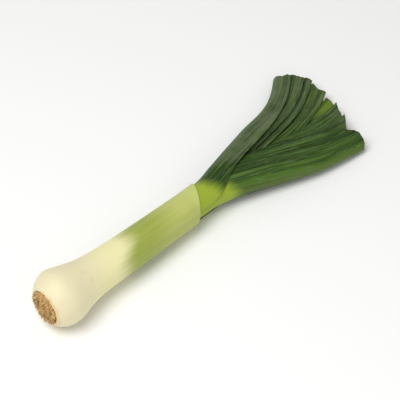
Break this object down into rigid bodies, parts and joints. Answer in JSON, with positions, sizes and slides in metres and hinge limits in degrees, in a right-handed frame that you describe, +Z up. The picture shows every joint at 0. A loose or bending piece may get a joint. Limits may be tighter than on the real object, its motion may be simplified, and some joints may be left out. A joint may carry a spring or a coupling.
{
  "type": "leek",
  "caption": "Whole fresh leek lying on its side: trimmed roots, white bulb, pale green shaft and a fan of dark green folded leaves cut off at the tips.",
  "frame": {"origin": "on the surface that the leek lies on, under the middle of its box", "axes": "+X from the roots to the leaf tips, +Y to the left side of the fan seen from the roots, +Z up"},
  "size_m": [0.3662, 0.1172, 0.0484],
  "materials": {
    "root": "matte fibrous root tissue",
    "shaft": "satin, white at the bulb to yellow-green",
    "outer_leaf": "satin with a waxy bloom",
    "inner_leaf": "satin with fine long veins"
  },
  "bodies": {
    "root": {"root_plate": "root", "shaft": "shaft", "leaf_1": "outer_leaf", "leaf_2": "outer_leaf", "leaf_3": "inner_leaf", "leaf_4": "inner_leaf", "leaf_5": "inner_leaf", "leaf_6": "inner_leaf", "leaf_7": "inner_leaf", "leaf_8": "inner_leaf"}
  },
  "joints": []
}
